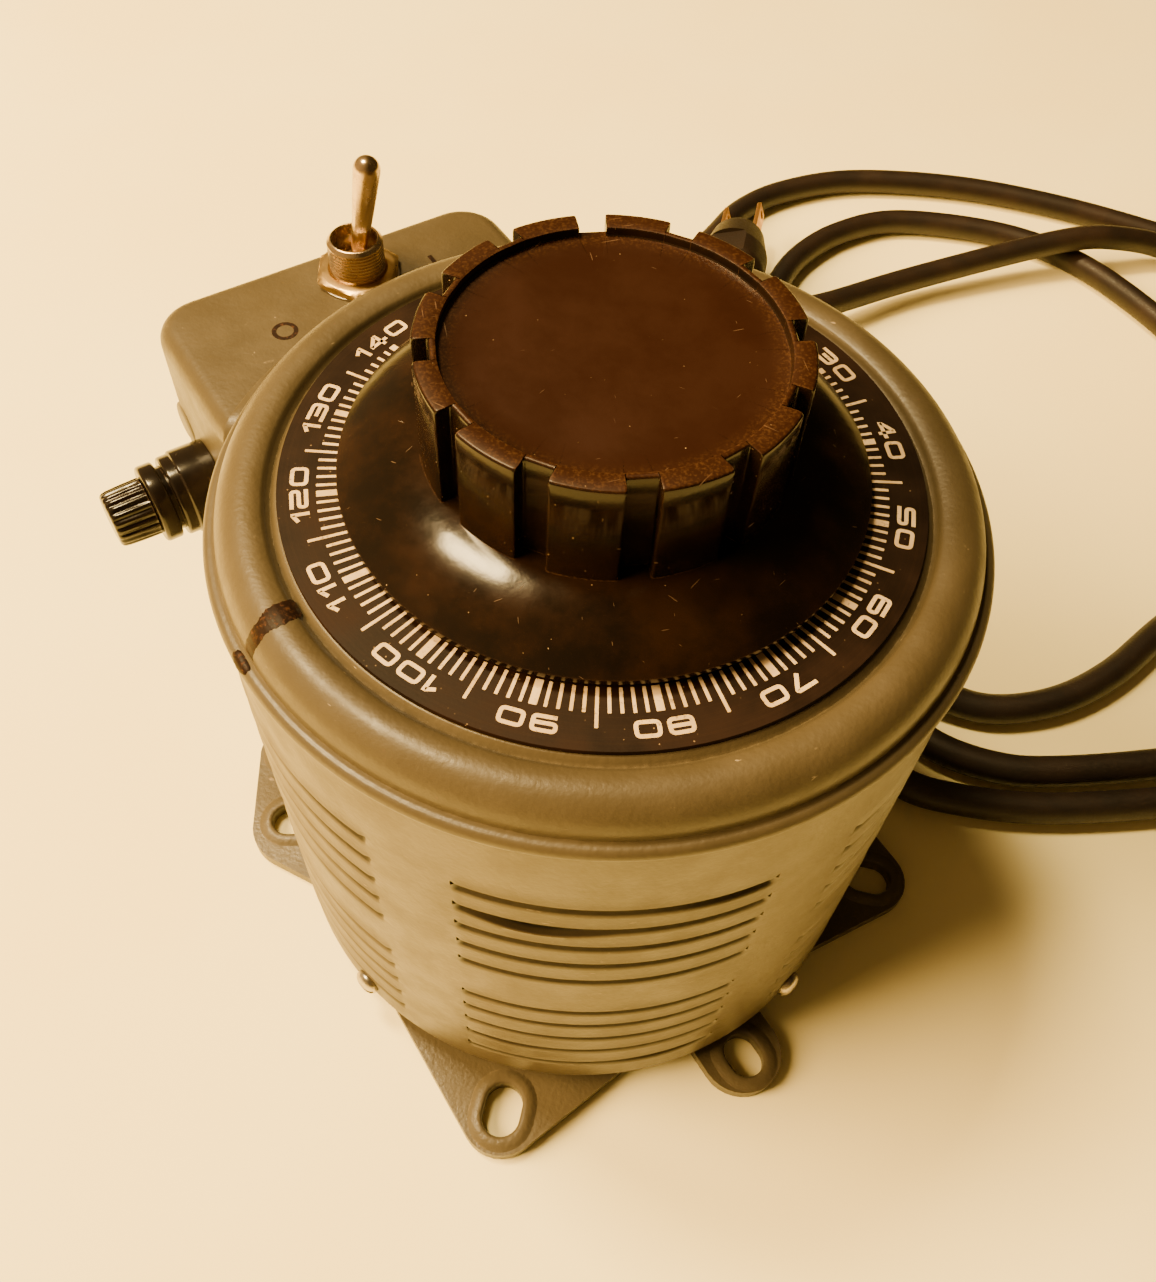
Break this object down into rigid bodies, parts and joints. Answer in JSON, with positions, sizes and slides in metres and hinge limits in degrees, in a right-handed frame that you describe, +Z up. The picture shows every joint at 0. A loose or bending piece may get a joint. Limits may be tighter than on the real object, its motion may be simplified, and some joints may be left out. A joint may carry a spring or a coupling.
{
  "type": "variac autotransformer",
  "caption": "Table-top variable autotransformer: ventilated round case, turn knob over a voltage dial, side box with toggle switch, fuse holder and outlet, coiled power cord with plug.",
  "frame": {"origin": "centre of the base's underside, on the axis of the shaft", "axes": "+Z up the shaft towards the knob; +X towards the right-hand corner foot and -Y towards the front corner foot; the terminal box stands between -X and +Y"},
  "size_m": [0.3831, 0.4026, 0.1673],
  "materials": {
    "grey_paint": "semi-gloss",
    "black_dial": "satin",
    "black_moulding": "glossy",
    "brown_board": "matte",
    "card_insulation": "matte",
    "core_steel": "satin",
    "copper": "satin",
    "zinc_steel": "satin",
    "polished_steel": "bright",
    "brass": "satin",
    "light_alloy": "cast",
    "black_rubber": "matte",
    "carbon": "matte",
    "clear_glass": "clear",
    "wire_insulation": "satin"
  },
  "bodies": {
    "case": {"base_casting": "grey_paint", "ventilated_shell": "grey_paint", "top_cover": "grey_paint", "dial_plate": "black_dial", "dial_screws": "zinc_steel", "shell_screws": "zinc_steel", "coil_seat_ring": "brown_board", "lower_core_insulator": "card_insulation", "upper_core_insulator": "card_insulation", "core_stack": "core_steel", "copper_winding": "copper", "brush_track": "copper", "coil_clamp_plate": "light_alloy", "coil_clamp_bolts": "zinc_steel", "lower_bushing": "brass", "upper_bushing": "brass", "stop_post": "zinc_steel", "contact_block": "brown_board", "contact_leaf": "brass", "saddle_gasket": "black_rubber", "box_saddle": "grey_paint", "saddle_screws": "zinc_steel", "saddle_nuts": "zinc_steel", "terminal_box": "grey_paint", "box_floor": "grey_paint", "box_screws": "zinc_steel", "terminal_strip": "brown_board", "terminal_screws": "brass", "switch_body": "brown_board", "switch_bushing": "polished_steel", "switch_washer": "zinc_steel", "switch_nut": "brass", "fuse_holder_body": "black_moulding", "fuse_holder_nut": "black_moulding", "outlet_receptacle": "black_moulding", "outlet_contacts": "brass", "outlet_screws": "zinc_steel", "cord_strain_relief": "black_rubber", "power_cord": "black_rubber", "plug_body": "black_rubber", "plug_blades": "brass", "lead_wires": "wire_insulation"},
    "rotor": {"knob": "black_moulding", "knob_set_screw": "zinc_steel", "shaft": "polished_steel", "shaft_collars": "zinc_steel", "collar_set_screws": "zinc_steel", "brush_rotor": "light_alloy", "collector_ring": "brass", "brush_holder": "brass", "brush_spring": "zinc_steel"},
    "brush": {"carbon_brush": "carbon"},
    "switch_lever": {"toggle_lever": "polished_steel"},
    "switch_contact": {"switch_rocker": "brass"},
    "fuse": {"fuse_carrier": "brass", "fuse_glass": "clear_glass", "fuse_ends": "polished_steel"},
    "fuse_knob": {"fuse_cap": "black_moulding"}
  },
  "joints": [
    {"name": "knob_turn", "type": "hinge", "parent": "case", "child": "rotor", "pos_m": [0, 0, 0.1], "axis": [0, 0, -1], "range_deg": [0, 318]},
    {"name": "brush_lift", "type": "slide", "parent": "rotor", "child": "brush", "axis": [0, 0, 1], "range_m": [0, 0.0015], "deforming": ["brush_spring"]},
    {"name": "switch_throw", "type": "hinge", "parent": "case", "child": "switch_lever", "pos_m": [-0.06611, 0.05763, 0.124], "axis": [-0.7071, 0.7071, 0], "range_deg": [-24, 0]},
    {"name": "contact_rock", "type": "hinge", "parent": "case", "child": "switch_contact", "pos_m": [-0.06611, 0.05763, 0.106], "axis": [-0.7071, 0.7071, 0], "range_deg": [0, 16]},
    {"name": "fuse_pull", "type": "slide", "parent": "case", "child": "fuse", "axis": [-0.7071, -0.7071, 0], "range_m": [0, 0.052]},
    {"name": "fuse_cap_turn", "type": "hinge", "parent": "fuse", "child": "fuse_knob", "pos_m": [-0.09405, 0.01202, 0.0926], "axis": [0.7071, 0.7071, 0], "range_deg": [0, 90]}
  ],
  "couplings": [
    {"joint": "contact_rock", "follows": "switch_throw", "ratio": -0.6666}
  ]
}
